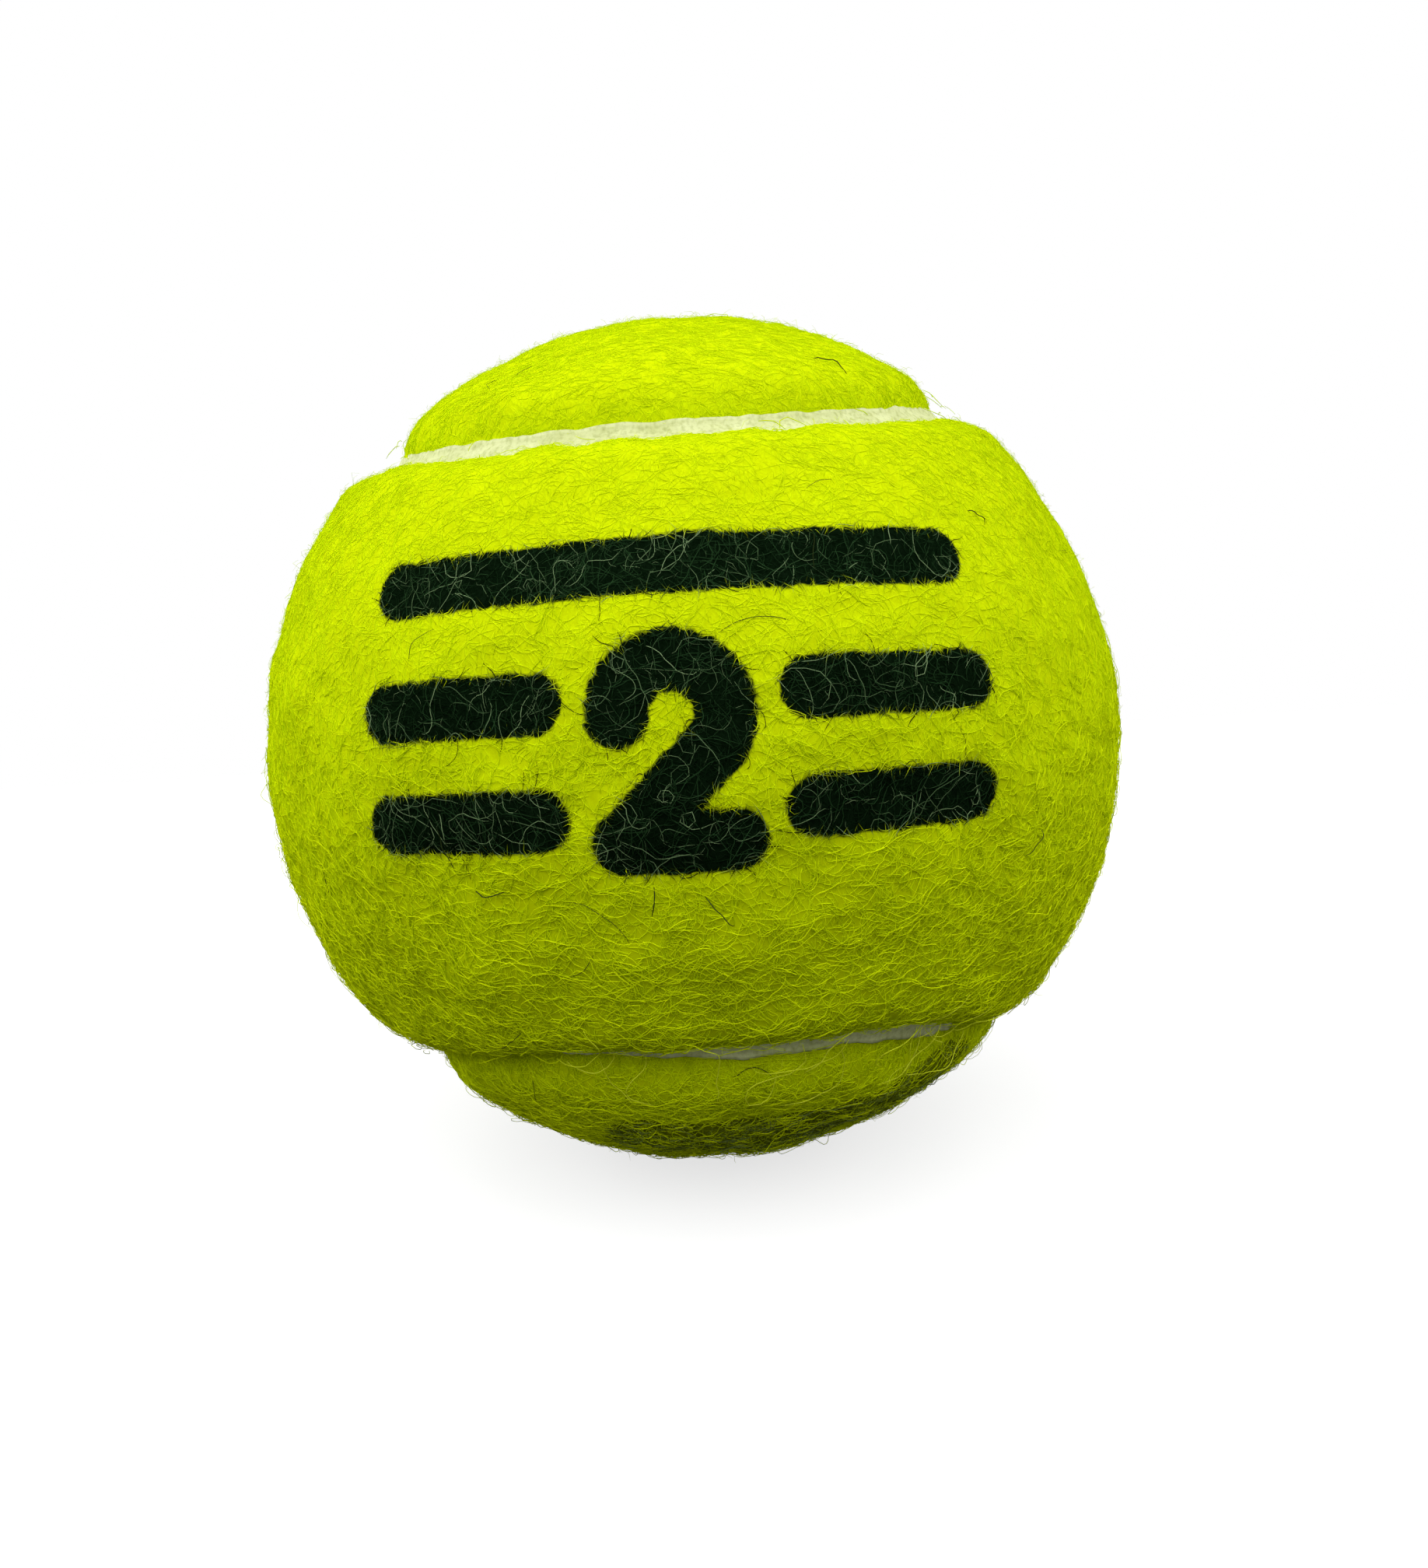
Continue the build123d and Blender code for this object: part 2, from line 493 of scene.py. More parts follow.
def mesh_object(name, vertices, faces, material, places):
    """Smooth piece from vertices in millimetres, faces grouped by corner count, and map places."""
    mesh = bpy.data.meshes.new(name)
    mesh.vertices.add(len(vertices))
    mesh.vertices.foreach_set("co", (vertices * MM).astype(np.float32).ravel())
    corners = np.concatenate([group.ravel() for group in faces])
    sizes = np.concatenate([np.full(len(group), group.shape[1]) for group in faces])
    mesh.loops.add(len(corners))
    mesh.loops.foreach_set("vertex_index", corners.astype(np.int32))
    mesh.polygons.add(len(sizes))
    mesh.polygons.foreach_set("loop_start", (np.cumsum(sizes) - sizes).astype(np.int32))
    mesh.update(calc_edges=True)
    mesh.shade_smooth()
    mesh.materials.append(material)
    mesh.uv_layers.new(name=BAKE_MAP).data.foreach_set("uv", places.astype(np.float32).ravel())
    piece = bpy.data.objects.new(name, mesh)
    bpy.context.collection.objects.link(piece)
    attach(piece, "root")
    return piece


def set_attribute(piece, name, values):
    attribute = piece.data.attributes.new(name, "FLOAT", "POINT")
    attribute.data.foreach_set("value", values.astype(np.float32))


# Felt panels
FELT_SPACING = 0.36
BACK_SPACING = 1.6
RIM_SPACING = 0.36
SHOULDER_RINGS = 10
WALL_RINGS = 4
SKIN_SEED = 11
BACK_SEED = 12
# The lattice's scatter in steps, its distance from the rim in spacings, and how close points are joined
LATTICE_SCATTER = 0.15
RIM_CLEARANCE = 0.6
CHART_JOIN = 1e-9
# Triangles inside the rim alone
FILL_INSIDE = 1
# Where a panel's left half, right half and back lie on its map: lowest and highest share of it
MAP_BANDS = {"left": (0.01, 0.41), "right": (0.43, 0.83), "back": (0.85, 0.99)}
MAP_MARGIN = 0.01
# How far each half reaches past the middle, in radians, and a wall's width on the map in millimetres
MAP_OVERLAP = 0.02
MAP_WALL = 0.8


def to_chart(directions):
    """Mercator chart of the ball, with the front at its middle."""
    around = np.arctan2(directions[:, 0], -directions[:, 1])
    return np.column_stack((around, np.arctanh(directions[:, 2])))


def from_chart(chart):
    around, up = chart.T
    level = 1 / np.cosh(up)
    return np.column_stack((level * np.sin(around), -level * np.cos(around), np.tanh(up)))


def filled_chart(rim, spacing, seed):
    """Points and triangles that fill the chart inside a rim on a lattice; the rim comes first."""
    rim_chart = to_chart(rim)
    step = spacing / BALL_RADIUS
    (left, bottom), (right, top) = rim_chart.min(axis=0), rim_chart.max(axis=0)
    columns = np.arange(left, right, step)
    rows = np.arange(bottom, top, step * math.sqrt(3) / 2)
    across, upward = np.meshgrid(columns, rows)
    across[1::2] += step / 2
    lattice = np.column_stack((across.ravel(), upward.ravel()))
    scatter = np.random.default_rng(seed).uniform(-LATTICE_SCATTER, LATTICE_SCATTER, lattice.shape)
    lattice += scatter * step
    rim_distance = np.abs(nearest_seam(rim)[1]).max()
    inside = -nearest_seam(from_chart(lattice))[1] > rim_distance + RIM_CLEARANCE * spacing
    corners = [Vector(point) for point in np.vstack((rim_chart, lattice[inside])).tolist()]
    outline = [list(range(len(rim)))]
    points, _, triangles, *_ = delaunay_2d_cdt(corners, [], outline, FILL_INSIDE, CHART_JOIN)
    return from_chart(np.array(points)), np.array(triangles)


def panel_map(chart, faces, on_back):
    """Map places of a panel's corners: two halves of its face, one above the other, and its back."""
    low, high = chart.min(axis=0), chart.max(axis=0)
    spans = {
        "left": (low[0], MAP_OVERLAP),
        "right": (-MAP_OVERLAP, high[0]),
        "back": (low[0], high[0]),
    }
    places = []
    for group in faces:
        corners = chart[group]
        middle = corners[:, :, 0].mean(axis=1)
        back = on_back[group].all(axis=1)
        place = np.empty_like(corners)
        members = {"left": ~back & (middle < 0), "right": ~back & (middle >= 0), "back": back}
        for band, (start, end) in MAP_BANDS.items():
            chosen = members[band]
            first, last = spans[band]
            around = (corners[chosen, :, 0] - first) / (last - first)
            upward = (corners[chosen, :, 1] - low[1]) / (high[1] - low[1])
            place[chosen, :, 0] = MAP_MARGIN + (1 - 2 * MAP_MARGIN) * around
            place[chosen, :, 1] = start + (end - start) * upward
        places.append(place.reshape(-1, 2))
    return np.concatenate(places)


def panel_edge(s, side):
    """Distance from the seam line to a panel's edge; the back panel is turned to the front."""
    if side < 0:
        return groove_drift(s) - groove_half(s, side)
    turned = (math.pi / 2 - s) % (2 * math.pi)
    return -groove_drift(turned) - groove_half(turned, side)


def panel_shape(side):
    """Directions, wall radii (nan on the skin), faces and map places of a panel, waist in front."""
    s = even_seam(RIM_SPACING)
    count = len(s)
    edge = panel_edge(s, side)
    rim = np.full(count, edge.min() - SHOULDER_REACH)
    top = BALL_RADIUS - SHOULDER_DROP
    skin, triangles = filled_chart(beside_seam(s, rim), FELT_SPACING, SKIN_SEED)
    directions, charts = [skin], [to_chart(skin)]
    radii, quads = [np.full(len(skin), np.nan)], []
    rings = [(share, None) for share in np.linspace(0, 1, SHOULDER_RINGS + 1)[1:]]
    rings += [(1.0, share) for share in np.linspace(0, 1, WALL_RINGS + 1)[1:]]
    before, total = np.arange(count), len(skin)
    for inward, down in rings:
        place = rim + (edge - rim) * inward
        directions.append(beside_seam(s, place))
        # On the map the wall is rolled out flat towards the seam
        charts.append(to_chart(beside_seam(s, place + (down or 0.0) * MAP_WALL)))
        radius = np.nan if down is None else top + (FELT_BACK_RADIUS - top) * down
        radii.append(np.full(count, radius))
        ring = total + np.arange(count)
        quads.append(np.column_stack((before, np.roll(before, -1), np.roll(ring, -1), ring)))
        before, total = ring, total + count
    back, back_triangles = filled_chart(directions[-1], BACK_SPACING, BACK_SEED)
    on_wall = back_triangles < count
    back_triangles = np.where(on_wall, before[0], total - count) + back_triangles
    # Seen from outside, the back's faces run the other way round
    back_triangles = back_triangles[:, ::-1]
    directions.append(back[count:])
    charts.append(to_chart(back[count:]))
    radii.append(np.full(len(back) - count, FELT_BACK_RADIUS))
    radii = np.concatenate(radii)
    on_back = np.arange(len(radii)) >= before[0]
    faces = [np.concatenate((triangles, back_triangles)), np.concatenate(quads)]
    return np.vstack(directions), radii, faces, panel_map(np.vstack(charts), faces, on_back)


def swap_panels(vectors):
    """Half a turn about the axis that puts the front panel where the back panel is."""
    return np.column_stack((vectors[:, 2], -vectors[:, 1], vectors[:, 0]))


def felt_panel(name, node, directions, wall_radii, faces, places, material):
    """Felt panel with its lumpy skin, rounded shoulders and plain back."""
    _, across, half = groove(directions)
    radii = np.where(np.isnan(wall_radii), felt_radius(directions, across, half), wall_radii)
    piece = mesh_object(name, directions * radii[:, None], faces, material, places)
    set_attribute(piece, "ink", ink_distance(directions))
    set_attribute(piece, "strength", ink_strength(directions))
    # Where the nap stands up, which also sets the felt's painted shade on the lower half
    set_attribute(piece, "rise", nap_rise(directions))
    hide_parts(node)


# Nap
NAP_SEED = 5
FIBRE_SIDES = 3
FACES_PER_PIECE = 190000
# Fibres at the groove: how far off its edge they stay, how that varies, how far one may be pushed there
GROOVE_MARGIN = 0.03
GROOVE_RAGGED = 0.10
MOST_PUSH = 1.3
# How far below the ball's surface fibres cross the groove
BRIDGE_DEPTH = 0.6
# How wide the band of edge fibres is, and the step at which they are set out along the groove
EDGE_REACH = 1.2
EDGE_STEP = 0.1
# Heights on the ball, in radii, between which the nap goes from standing up to brushed flat
RISE_LOW = -0.35
RISE_HIGH = 0.25
# Share of their height that brushed fibres keep, and directions drawn for each standing one
FLAT_SHARE = 0.35
STANDING_TRIES = 4
# Stretch of the lower seam with hanging strands
LOWER_FRONT = (math.pi - 0.42, math.pi + 0.25)
# Painted shade: share of its tone that the mat of short fibres loses on the lower half, where the nap
# stands up
MAT_PAINTED_SHADE = 0.3
# Paths: the flow's wavelength, seed and axis, the scatter about the flow or an aim, and the bends
FLOW_WAVELENGTH = 16.0
FLOW_SEED = 21
FLOW_AXIS = (0.13, 0.21, 1.0)
FLOW_SCATTER = 0.55
AIM_SCATTER = 0.45
LENGTH_SPREAD = 0.3
BEND_KEPT = 0.6
BEND_NEW = 0.8
# Heights: how far ends are tucked in, the arch's shape, how much of it a free end shows, and the sway
FIBRE_TUCK = 0.03
ARCH_POWER = 0.7
FREE_ARCH = 0.6
SWAY_SHARE = 0.25
SWAY_STARTS = (0, 6)
SWAY_TURNS = (4, 12)
HEIGHT_SPREAD = 0.4
# Thickness along a fibre, and its range from fibre to fibre
TAPER_PLACES = (0, 0.15, 0.8, 1)
TAPER_SIZES = (0.7, 1.0, 0.9, 0.4)
WIDTH_RANGE = (0.75, 1.25)
# Tones gather about the middle of their range by this power
TONE_POWER = 2.2
# Ink: softness and scatter of its edge in millimetres
INK_SOFTNESS = 0.2
INK_SCATTER = 0.12
# Fibres inked to their ends: their share, their least ink at half length, and the tone they keep
WHOLE_INK_SHARE = 0.12
WHOLE_INK_LEAST = 0.9
WHOLE_INK_TONE = 0.5
# Where a fibre's sides and caps lie in its cell on the map
CELL_ALONG = (0.12, 0.95)
CELL_ACROSS = (0.1, 0.9)
CELL_CAPS = [(0.04, 0.10), (0.955, 0.995)]
CELL_CAP_ACROSS = (0.2, 0.5, 0.8)
# Dark hairs in front: directions of their two ends
DARK_HAIRS = [
    ((-0.22, -0.95, -0.23), (-0.28, -0.93, -0.25)),
    ((0.03, -0.97, -0.23), (0.05, -0.96, -0.27)),
    ((0.11, -0.96, -0.25), (0.20, -0.95, -0.26)),
    ((0.69, -0.69, -0.20), (0.66, -0.70, -0.25)),
    ((-0.34, -0.93, -0.12), (-0.31, -0.94, -0.15)),
    ((0.35, -0.58, 0.74), (0.42, -0.60, 0.68)),
    ((0.60, -0.70, 0.38), (0.67, -0.67, 0.33)),
]


def all_over(rng, count):
    """Random directions all over the ball."""
    return unit(rng.normal(size=(count, 3)))


def lower_half(rng, count):
    """Random directions where the nap stands up."""
    directions = all_over(rng, STANDING_TRIES * count)
    return directions[rng.random(len(directions)) < nap_rise(directions)][:count]


def along_groove(rng, count, first=0.0, last=2 * math.pi, sides=(-1, 1)):
    """Random directions on the shoulders beside a stretch of the groove, most near its edge."""
    s = even_seam(EDGE_STEP)
    s = rng.choice(s[(s >= first) & (s <= last)], count)
    side = rng.choice(sides, count)
    half = np.where(side < 0, groove_half(s, -1), groove_half(s, 1))
    return beside_seam(s, groove_drift(s) + side * (half + EDGE_REACH * rng.random(count) ** 2))


def grow_fibres(rng, here, rings, length, curl, flow_share, towards=None):
    """Fibre lines from their starts: each sets out at random, with the flow or one way, and winds."""
    count = len(here)
    heading = unit(np.cross(here, rng.normal(size=(count, 3))))
    flow_angle = math.pi * wave_noise(here * BALL_RADIUS, FLOW_WAVELENGTH, FLOW_SEED)[:, None]
    east = unit(np.cross(here, FLOW_AXIS))
    flow = east * np.cos(flow_angle) + np.cross(here, east) * np.sin(flow_angle)
    follows = (rng.random(count) < flow_share)[:, None]
    heading = unit(np.where(follows, flow + FLOW_SCATTER * heading, heading))
    if towards is not None:
        heading = unit(towards + AIM_SCATTER * heading)
    step = length * rng.lognormal(0.0, LENGTH_SPREAD, (count, 1)) / (rings - 1)
    bend = rng.normal(0, curl, (count, 1))
    line = [here]
    for _ in range(rings - 1):
        bend = BEND_KEPT * bend + BEND_NEW * rng.normal(0, curl, (count, 1))
        heading = heading * np.cos(bend * step) + np.cross(here, heading) * np.sin(bend * step)
        here = unit(here + heading * step / BALL_RADIUS)
        heading = unit(heading - here * dot(heading, here)[:, None])
        line.append(here)
    return np.stack(line, axis=1)


def fibre_heights(rng, count, rings, height, free_end):
    """Height of each fibre's points over the felt: both ends tucked in, or one end free."""
    share = np.linspace(0, 1, rings)
    arch = np.sin(share * math.pi * (FREE_ARCH if free_end else 1.0)) ** ARCH_POWER
    starts = rng.uniform(*SWAY_STARTS, (count, 1))
    sway = np.sin(starts + share * rng.uniform(*SWAY_TURNS, (count, 1)))
    tallest = height * rng.lognormal(0.0, HEIGHT_SPREAD, (count, 1))
    return tallest * (arch + SWAY_SHARE * sway * arch) - FIBRE_TUCK


def nap_rise(directions):
    """How far the nap stands up: from 0 on the upper half, brushed flat, to 1 on the lower half."""
    return np.interp(directions[:, 2], (RISE_LOW, RISE_HIGH), (1.0, 0.0))


def lay_on_felt(rng, lines, heights, crossing_share):
    """Fibre points on the felt; fibres follow the groove's edge, and only a few cross it."""
    count, rings, _ = lines.shape
    crosses = np.repeat(rng.random(count) < crossing_share, rings)
    flat = lines.reshape(-1, 3)
    heights = heights.ravel()
    s, across, _ = groove(flat)
    side = np.repeat(np.sign(across.reshape(count, rings)[:, 0]), rings)
    half = np.where(side < 0, groove_half(s, -1), groove_half(s, 1))
    margin = np.repeat(rng.normal(GROOVE_MARGIN, GROOVE_RAGGED, count), rings)
    push = np.where(crosses, 0, np.clip(half + margin - across * side, 0, None))
    sideways = seam_sideways(s) * side[:, None]
    flat = unit(flat + sideways * (push / BALL_RADIUS)[:, None])
    radii = felt_radius(flat, across + side * push, half)
    tilt = np.where(crosses, 0, shoulder_tilt(across + side * push, half))
    radii = np.where(crosses, np.maximum(radii, BALL_RADIUS - BRIDGE_DEPTH), radii)
    # Heights count along the felt's surface normal, which leans into the groove on the shoulders
    radii += heights * np.cos(tilt)
    flat = unit(flat - sideways * (heights * np.sin(tilt) / BALL_RADIUS)[:, None])
    rooted = (np.abs(across) - half).reshape(count, rings)[:, 0] > 0
    kept = rooted & (push.reshape(count, rings).max(axis=1) < MOST_PUSH)
    return (flat * radii[:, None]).reshape(count, rings, 3)[kept]


def fibre_piece(name, points, thickness, material, tone, inked, stray, shades):
    """One piece of many closed three-sided fibres, each with its own cell on the map."""
    count, rings, _ = points.shape
    along = unit(np.gradient(points, axis=1))
    across = unit(np.cross(points, along))
    out = np.cross(along, across)
    taper = np.interp(np.linspace(0, 1, rings), TAPER_PLACES, TAPER_SIZES)
    radius = (thickness[:, None] / 2 * taper)[..., None]
    # Standing fibres have a ridge on top, which catches the light; brushed ones are flat on top
    first = math.pi / 2 if shades else -math.pi / 2
    angles = 2 * math.pi * np.arange(FIBRE_SIDES) / FIBRE_SIDES + first
    corners = [points + radius * (math.cos(a) * across + math.sin(a) * out) for a in angles]
    ring = np.arange(count * rings).reshape(count, rings) * FIBRE_SIDES
    cells = math.ceil(math.sqrt(count))
    cell = np.stack(np.divmod(np.arange(count), cells), axis=-1)[:, None, None, :]
    reach = np.linspace(*CELL_ALONG, rings)
    girth = np.linspace(*CELL_ACROSS, FIBRE_SIDES + 1)
    quads, places = [], []
    for side in range(FIBRE_SIDES):
        after = (side + 1) % FIBRE_SIDES
        near, far = ring[:, :-1], ring[:, 1:]
        quad = np.stack((near + side, near + after, far + after, far + side), axis=-1)
        quads.append(quad.reshape(-1, 4))
        low, high = np.full(rings - 1, girth[side]), np.full(rings - 1, girth[side + 1])
        box = np.stack((reach[:-1], low, reach[:-1], high, reach[1:], high, reach[1:], low), axis=-1)
        places.append(((cell + box.reshape(-1, 4, 2)) / cells).reshape(-1, 2))
    sides = np.arange(FIBRE_SIDES)
    caps = np.concatenate((ring[:, :1] + sides[::-1], ring[:, -1:] + sides))
    for start, end in CELL_CAPS:
        corner = np.array([list(zip((start, end, start), CELL_CAP_ACROSS))])
        places.append(((cell + corner) / cells).reshape(-1, 2))
    vertices = np.stack(corners, axis=2).reshape(-1, 3)
    faces = [np.concatenate(quads), caps]
    piece = mesh_object(name, vertices, faces, material, np.concatenate(places))
    piece.visible_shadow = shades
    set_attribute(piece, "tone", np.repeat(tone, rings * FIBRE_SIDES))
    set_attribute(piece, "inked", np.repeat(inked.ravel(), FIBRE_SIDES))
    set_attribute(piece, "stray", np.repeat(stray, rings * FIBRE_SIDES))


def nap_layer(kind, rng, material, starts, rings, length, curl, flow, height, thickness, tones,
              free_end=False, crossing=0.0, brushed=False, deep=False, towards=None):
    """One layer of the nap, split into pieces of a workable size."""
    lines = grow_fibres(rng, starts, rings, length, curl, flow, towards)
    heights = fibre_heights(rng, len(starts), rings, height, free_end)
    if brushed:
        heights *= (FLAT_SHARE + (1 - FLAT_SHARE) * nap_rise(starts))[:, None]
    points = lay_on_felt(rng, lines, heights, crossing)
    count = len(points)
    low, high = tones
    tone = low + (high - low) * rng.beta(TONE_POWER, TONE_POWER, count)
    # Painted shade: the mat's fibres go darker on the lower half, where the nap stands up
    if deep:
        tone *= 1 - MAT_PAINTED_SHADE * nap_rise(unit(points[:, 0]))
    places = unit(points.reshape(-1, 3))
    ink = ink_distance(places).reshape(count, rings) + rng.normal(0, INK_SCATTER, (count, 1))
    # On the worn bar some fibres have lost their ink, and it is thinner on the others
    strength = ink_strength(places).reshape(count, rings)
    kept_ink = (rng.random((count, 1)) < strength) * np.sqrt(strength)
    inked = np.clip(0.5 - ink / INK_SOFTNESS, 0, 1) * kept_ink
    # Some fibres took the ink along their whole length and lean out over the print's edge
    whole = (rng.random(count) < WHOLE_INK_SHARE) & (inked[:, rings // 2] > WHOLE_INK_LEAST)
    inked[whole] = 1.0
    tone[whole] *= WHOLE_INK_TONE
    stray = np.full(count, float(kind in ("dark", "hair")))
    widths = thickness * rng.uniform(*WIDTH_RANGE, count)
    # Light passes through the thin brushed nap of the upper half, so that part throws no shadow
    shades = rng.random(count) < nap_rise(unit(points[:, 0]))
    # Two triangles to a side of each stretch, and two caps
    per_piece = FACES_PER_PIECE // (2 * FIBRE_SIDES * (rings - 1) + 2)
    number = 0
    for group in (True, False):
        chosen = np.flatnonzero(shades == group)
        for first in range(0, len(chosen), per_piece):
            part = chosen[first:first + per_piece]
            number += 1
            fibre_piece(f"nap_{kind}_{number:02d}", points[part], widths[part], material,
                        tone[part], inked[part], stray[part], group)


def grow_nap():
    """The whole nap: a mat of short fibres, longer ones over it, edges, loose ends and dark hairs."""
    rng = np.random.default_rng(NAP_SEED)
    material = fibre_material("felt_fibre", FELT_DEEP, FELT_MIDDLE, FELT_BRIGHT)
    pale = fibre_material("felt_fibre_pale", FELT_MIDDLE, FELT_BRIGHT, FELT_PALE)
    nap_layer("mat", rng, material, all_over(rng, 80000), rings=5, length=1.6, curl=1.0, flow=0.06,
              height=0.08, thickness=0.056, tones=(0.35, 0.9), brushed=True, deep=True)
    nap_layer("web", rng, material, all_over(rng, 12000), rings=11, length=3.8, curl=1.2, flow=0.05,
              height=0.20, thickness=0.048, tones=(0.6, 1.0), crossing=0.01, brushed=True)
    nap_layer("curls", rng, material, lower_half(rng, 8500), rings=12, length=4.0, curl=1.2,
              flow=0.10, height=0.22, thickness=0.046, tones=(0.6, 0.95), crossing=0.01)
    nap_layer("edge", rng, material, along_groove(rng, 8000), rings=5, length=1.4, curl=0.8,
              flow=0.0, height=0.08, thickness=0.060, tones=(0.3, 0.95), crossing=0.02)
    nap_layer("pile", rng, material, all_over(rng, 44000), rings=3, length=0.7, curl=1.0, flow=0.0,
              height=0.22, thickness=0.024, tones=(0.4, 1.0), free_end=True)
    nap_layer("loose", rng, material, all_over(rng, 240), rings=12, length=3.2, curl=0.8, flow=0.1,
              height=0.24, thickness=0.045, tones=(0.5, 1.0), free_end=True, crossing=0.1)
    hanging = along_groove(rng, 18, *LOWER_FRONT, sides=(-1,))
    nap_layer("hang", rng, pale, hanging, rings=18, length=6.0, curl=0.7, flow=0.0, height=0.45,
              thickness=0.065, tones=(0.6, 1.0), free_end=True, crossing=1.0,
              towards=seam_sideways(nearest_seam(hanging)[0]))
    nap_layer("dark", rng, material, all_over(rng, 35), rings=9, length=2.8, curl=0.35, flow=0.1,
              height=0.22, thickness=0.045, tones=(0.0, 0.2))
    ends = unit(np.array(DARK_HAIRS))
    nap_layer("hair", rng, material, ends[:, 0], rings=9, length=2.4, curl=0.3, flow=0.0,
              height=0.50, thickness=0.070, tones=(0.0, 0.2), towards=unit(ends[:, 1] - ends[:, 0]))


# Seam compound
STRIP_SPACING = 0.3
STRIP_COLUMNS = 9
STRIP_MENISCUS = 0.2
STRIP_FOOT_CLEARANCE = 0.04
# Wavelength, height and seed of the unevenness on its top
STRIP_LUMPS = [(2.4, 0.05, 31), (0.9, 0.025, 32)]
# Rows of the strip on its map, and the margin of each in shares of its height
STRIP_MAP_ROWS = 12
STRIP_MAP_MARGIN = 0.05


def seam_strip(material):
    """Endless strip between the panels, drawn up a little at its sides and uneven on top."""
    s = even_seam(STRIP_SPACING)
    count = len(s)
    low, high = groove_drift(s) - groove_half(s, -1), groove_drift(s) + groove_half(s, 1)
    lines = []
    for share in np.linspace(0, 1, STRIP_COLUMNS):
        directions = beside_seam(s, low + (high - low) * share)
        rise = STRIP_MENISCUS * abs(2 * share - 1) ** 3
        rough = lump_heights(directions, STRIP_LUMPS)
        lines.append(directions * (STRIP_RADIUS + rise + rough)[:, None])
    foot_radius = CORE_RADIUS + STRIP_FOOT_CLEARANCE
    for share in (1.0, 0.5, 0.0):
        lines.append(beside_seam(s, low + (high - low) * share) * foot_radius)
    here = np.arange(count)
    after = np.roll(here, -1)
    per_row = math.ceil(count / STRIP_MAP_ROWS)
    row, column = np.divmod(here, per_row)
    left, right = column / per_row, (column + 1) / per_row
    row_height = (1 - 2 * STRIP_MAP_MARGIN) / len(lines)
    quads, places = [], []
    for line in range(len(lines)):
        near, far = line * count, (line + 1) % len(lines) * count
        quads.append(np.column_stack((near + here, near + after, far + after, far + here)))
        bottom = (row + STRIP_MAP_MARGIN + row_height * line) / STRIP_MAP_ROWS
        top = (row + STRIP_MAP_MARGIN + row_height * (line + 1)) / STRIP_MAP_ROWS
        box = np.stack((left, bottom, right, bottom, right, top, left, top), axis=-1)
        places.append(box.reshape(-1, 2))
    piece = mesh_object("seam_compound", np.vstack(lines), [np.concatenate(quads)], material,
                        np.concatenate(places))
    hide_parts("seam_strip")


def dress_hidden_layers():
    """Materials for the solids that stay as they are inside the ball."""
    core = rubber_material("core_rubber", *CORE_COLOURS, per_mm=0.8, roughness=0.7)
    cement = rubber_material("core_cement", *CEMENT_COLOURS, per_mm=1.2, roughness=0.5)
    backing = rubber_material("panel_backing", *BACKING_COLOURS, per_mm=0.6, roughness=0.8)
    for node, material in (
        ("core_half_upper", core),
        ("core_half_lower", core),
        ("core_joint_cement", cement),
        ("panel_backing_front", backing),
        ("panel_backing_back", backing),
    ):
        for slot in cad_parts[node].material_slots:
            slot.material = material


# Studio: the floor's size in metres, and its greys to what looks at it and to other light
FLOOR_SIZE = 3.0
FLOOR_SEEN = 0.40
FLOOR_UNSEEN = 0.08
# The floor's glow under the ball and away from it, and the distance in metres at which it is full
FLOOR_GLOW_NEAR = 0.72
FLOOR_GLOW_FAR = 1.0
FLOOR_GLOW_REACH = 0.22
# The sky's level at the sides and below
SKY_SIDE = 0.57
SKY_BOTTOM = 0.05
# Share of the sky's light that is left straight overhead, and the heights at which the sky changes
ZENITH_SHARE = 0.5
SKY_LOW = -0.15
SKY_MIDDLE = 0.35
# Soft lamps: azimuth and elevation in degrees, distance and size in metres, and watts
LAMPS = {
    "key": (0, 42, 0.50, 0.45, 1.58),
    "left": (-70, 38, 0.50, 0.45, 0.85),
    "right": (70, 38, 0.50, 0.45, 0.85),
    "rim_left": (-110, 15, 0.50, 0.25, 0.60),
    "rim_right": (110, 15, 0.50, 0.25, 0.30),
}
# Camera: sensor in millimetres, and the nearest distance in metres that it sees
SENSOR_WIDTH = 36
CLIP_START = 0.001


def add_node(tree, kind, **inputs):
    """Node with its inputs linked or set by name, with spaces written as underscores."""
    node = tree.nodes.new(kind)
    for name, value in inputs.items():
        socket = node.inputs[name.replace("_", " ")]
        if isinstance(value, bpy.types.NodeSocket):
            tree.links.new(value, socket)
        else:
            socket.default_value = value
    return node


def seen_directly(tree):
    """1 for what the camera, a reflection or glass looks at, else 0."""
    path = tree.nodes.new("ShaderNodeLightPath")
    total = path.outputs["Is Camera Ray"]
    for name in ("Is Glossy Ray", "Is Transmission Ray"):
        larger = tree.nodes.new("ShaderNodeMath")
        larger.operation = "MAXIMUM"
        tree.links.new(total, larger.inputs[0])
        tree.links.new(path.outputs[name], larger.inputs[1])
        total = larger.outputs[0]
    return total


def choose(tree, output, unseen, seen):
    """Shows one shader to what looks straight at it and another to all other light."""
    chosen = tree.nodes.new("ShaderNodeMixShader")
    tree.links.new(seen_directly(tree), chosen.inputs[0])
    tree.links.new(unseen, chosen.inputs[1])
    tree.links.new(seen, chosen.inputs[2])
    tree.links.new(chosen.outputs[0], tree.nodes.new(output).inputs["Surface"])


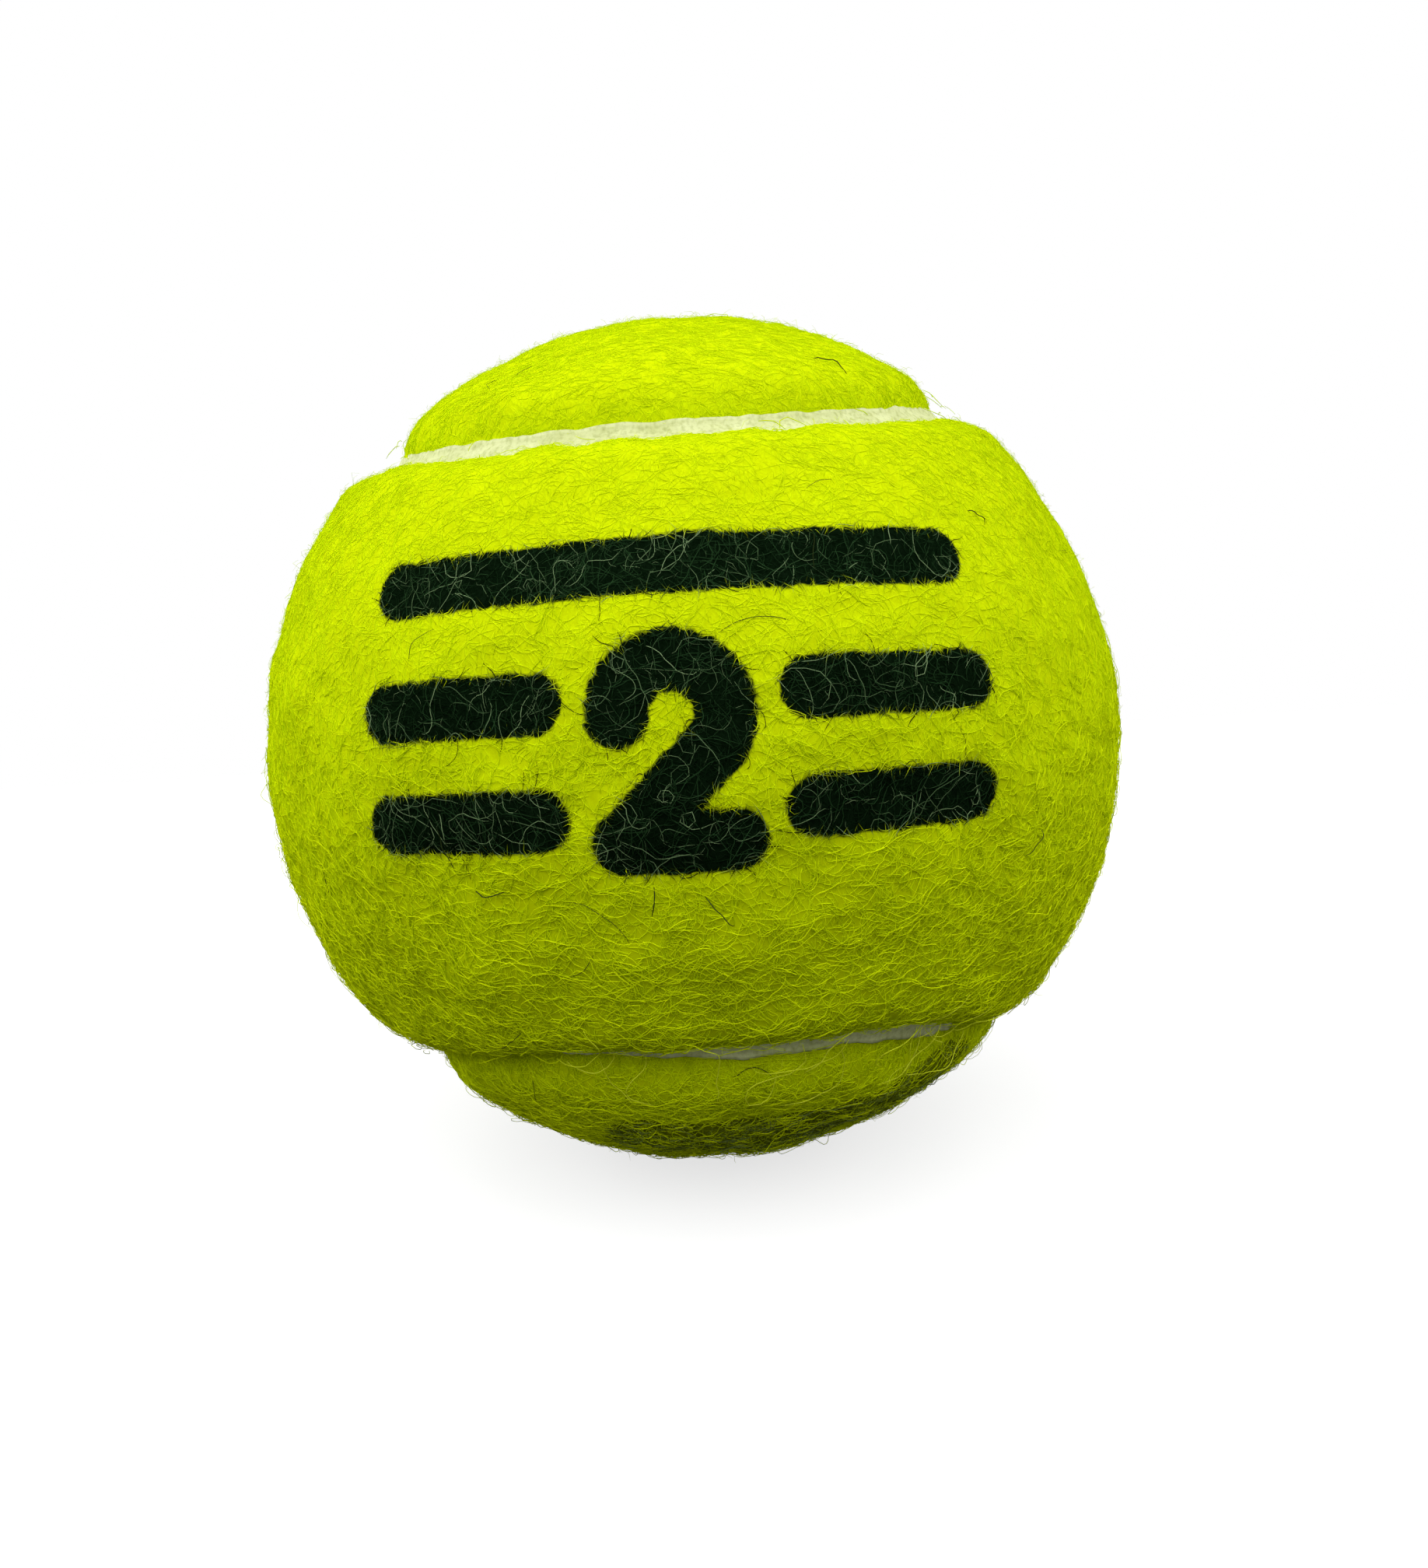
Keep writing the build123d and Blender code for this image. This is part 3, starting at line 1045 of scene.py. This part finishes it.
def studio_floor():
    """Pale floor that looks white, keeps the ball's shadow and throws little light back up."""
    half, level = FLOOR_SIZE / 2, -BALL_RADIUS * MM
    mesh = bpy.data.meshes.new("floor")
    corners = [(x, y, level) for x, y in ((-half, -half), (half, -half), (half, half), (-half, half))]
    mesh.from_pydata(corners, [], [(0, 1, 2, 3)])
    floor = bpy.data.objects.new("floor", mesh)
    bpy.context.collection.objects.link(floor)
    material = bpy.data.materials.new("floor")
    material.use_nodes = True
    tree = material.node_tree
    tree.nodes.clear()
    place = add_node(tree, "ShaderNodeTexCoord").outputs["Object"]
    away = tree.nodes.new("ShaderNodeVectorMath")
    away.operation = "LENGTH"
    tree.links.new(place, away.inputs[0])
    glow = add_node(tree, "ShaderNodeMapRange", Value=away.outputs["Value"],
                    From_Min=BALL_RADIUS * MM, From_Max=FLOOR_GLOW_REACH,
                    To_Min=FLOOR_GLOW_NEAR, To_Max=FLOOR_GLOW_FAR)
    emission = add_node(tree, "ShaderNodeEmission", Strength=glow.outputs["Result"])
    seen = add_node(tree, "ShaderNodeBsdfDiffuse", Color=(*[FLOOR_SEEN] * 3, 1))
    unseen = add_node(tree, "ShaderNodeBsdfDiffuse", Color=(*[FLOOR_UNSEEN] * 3, 1))
    together = tree.nodes.new("ShaderNodeAddShader")
    tree.links.new(seen.outputs[0], together.inputs[0])
    tree.links.new(emission.outputs[0], together.inputs[1])
    choose(tree, "ShaderNodeOutputMaterial", unseen.outputs[0], together.outputs[0])
    mesh.materials.append(material)


def studio_world():
    """White to the camera; a soft light from above for the ball."""
    world = bpy.data.worlds.new("studio")
    world.use_nodes = True
    tree = world.node_tree
    tree.nodes.clear()
    place = add_node(tree, "ShaderNodeTexCoord").outputs["Generated"]
    height = add_node(tree, "ShaderNodeSeparateXYZ", Vector=place).outputs["Z"]
    lower = add_node(tree, "ShaderNodeMapRange", Value=height, From_Min=SKY_LOW,
                     From_Max=SKY_MIDDLE, To_Min=SKY_BOTTOM, To_Max=SKY_SIDE)
    upper = add_node(tree, "ShaderNodeMapRange", Value=height, From_Min=SKY_MIDDLE, From_Max=1.0,
                     To_Min=1.0, To_Max=ZENITH_SHARE)
    level = tree.nodes.new("ShaderNodeMath")
    level.operation = "MULTIPLY"
    tree.links.new(lower.outputs["Result"], level.inputs[0])
    tree.links.new(upper.outputs["Result"], level.inputs[1])
    sky = add_node(tree, "ShaderNodeBackground", Color=(1, 1, 1, 1), Strength=level.outputs[0])
    backdrop = add_node(tree, "ShaderNodeBackground", Color=(1, 1, 1, 1), Strength=1.0)
    choose(tree, "ShaderNodeOutputWorld", sky.outputs[0], backdrop.outputs[0])
    bpy.context.scene.world = world


def soft_lamp(name, azimuth, elevation, distance, size, watts):
    """Square soft lamp aimed at the ball; azimuth 0 is the camera's side, positive to the right."""
    data = bpy.data.lights.new(name, "AREA")
    data.shape = "SQUARE"
    data.size = size
    data.energy = watts
    lamp = bpy.data.objects.new(name, data)
    bpy.context.collection.objects.link(lamp)
    a, e = math.radians(azimuth), math.radians(elevation)
    towards = Vector((math.sin(a) * math.cos(e), -math.cos(a) * math.cos(e), math.sin(e)))
    lamp.location = towards * distance
    lamp.rotation_mode = "QUATERNION"
    lamp.rotation_quaternion = towards.to_track_quat("Z", "Y")


def picture_camera():
    """Camera at the photograph's place; the ball's turn in the picture is put into the camera."""
    turn = (Matrix.Rotation(BALL_ROLL, 3, "Z") @ Matrix.Rotation(BALL_PITCH, 3, "X")
            @ Matrix.Rotation(BALL_YAW, 3, "Y"))
    # Rows of the turn are the picture's right, up and towards-the-camera directions
    right, up, back = (Vector((row[0], -row[2], row[1])) for row in turn)
    data = bpy.data.cameras.new("camera")
    camera = bpy.data.objects.new("camera", data)
    bpy.context.collection.objects.link(camera)
    pose = Matrix((right, up, back)).transposed().to_4x4()
    pose.translation = back * CAMERA_DISTANCE * BALL_RADIUS * MM
    camera.matrix_world = pose
    focal_pixels = BALL_OUTLINE / math.tan(math.asin(1 / CAMERA_DISTANCE))
    data.sensor_width = SENSOR_WIDTH
    data.lens = data.sensor_width * focal_pixels / PHOTO_HEIGHT
    data.shift_x = (PHOTO_WIDTH / 2 - BALL_CENTRE_X) / PHOTO_HEIGHT
    data.shift_y = (BALL_CENTRE_Y - PHOTO_HEIGHT / 2) / PHOTO_HEIGHT
    data.clip_start = CLIP_START
    bpy.context.scene.camera = camera


picture_camera()
studio_world()
studio_floor()
for lamp_name, lamp_values in LAMPS.items():
    soft_lamp(lamp_name, *lamp_values)
bpy.context.scene.view_settings.view_transform = "Standard"

felt = felt_material()
felt_panel("felt_front", "felt_panel_front", *panel_shape(-1), felt)
back_directions, *back_shape = panel_shape(1)
felt_panel("felt_back", "felt_panel_back", swap_panels(back_directions), *back_shape, felt)
grow_nap()
seam_strip(seam_material())
dress_hidden_layers()
